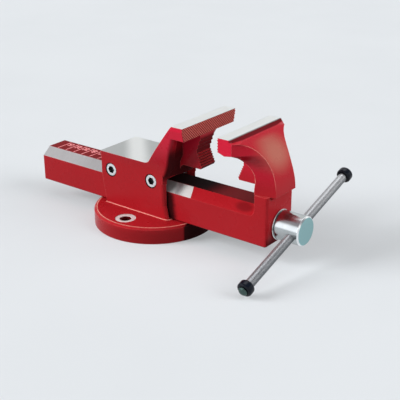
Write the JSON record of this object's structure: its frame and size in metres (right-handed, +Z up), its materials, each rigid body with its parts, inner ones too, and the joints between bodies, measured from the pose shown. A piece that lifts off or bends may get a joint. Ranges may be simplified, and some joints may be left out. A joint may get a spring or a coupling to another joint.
{
  "type": "parallel bench vise",
  "caption": "Parallel bench vise with a round bolt-down base, pipe jaws, a prism slide bar with gibs and a spindle with a sliding handle.",
  "frame": {"origin": "middle of the round base's underside, where it stands on the bench", "axes": "+X along the slide towards the spindle head, +Y across the jaws, +Z up"},
  "size_m": [0.4648, 0.262, 0.1765],
  "materials": {
    "painted_body": "gloss red stove enamel over forged steel; jaw tops, anvil and guide faces machined bare",
    "polished_steel": "turned and polished",
    "bright_steel": "zinc plated",
    "dark_steel": "blackened",
    "cast_nut": "machined cast iron, greased",
    "ground_steel": "ground",
    "handle_steel": "drawn bar, plated",
    "black_rubber": "moulded"
  },
  "bodies": {
    "root": {"fixed_body": "painted_body", "spindle_nut": "cast_nut", "nut_bolts": "dark_steel", "guide_gib_near": "ground_steel", "guide_gib_far": "ground_steel", "adjusting_screw_near_rear": "bright_steel", "adjusting_screw_near_front": "bright_steel", "adjusting_screw_far_rear": "bright_steel", "adjusting_screw_far_front": "bright_steel"},
    "jaw": {"sliding_jaw": "painted_body", "thrust_ring": "bright_steel", "rear_washer": "bright_steel"},
    "spindle": {"spindle": "polished_steel", "retaining_collar": "dark_steel", "collar_pin": "bright_steel"},
    "handle": {"handle_rod": "handle_steel", "handle_bumper_near": "black_rubber", "handle_bumper_far": "black_rubber"}
  },
  "joints": [
    {"name": "jaw_slide", "type": "slide", "parent": "root", "child": "jaw", "axis": [1, 0, 0], "range_m": [-0.0561, 0.094]},
    {"name": "spindle_turn", "type": "hinge", "parent": "jaw", "child": "spindle", "pos_m": [0.24, 0, 0.051], "axis": [1, 0, 0], "range_deg": [-4041, 6770]},
    {"name": "handle_slide", "type": "slide", "parent": "spindle", "child": "handle", "axis": [0, 0.9532, 0.3024], "range_m": [-0.1015, 0.0963]}
  ],
  "couplings": [
    {"joint": "spindle_turn", "follows": "jaw_slide", "rad_per_m": 1256.6}
  ]
}
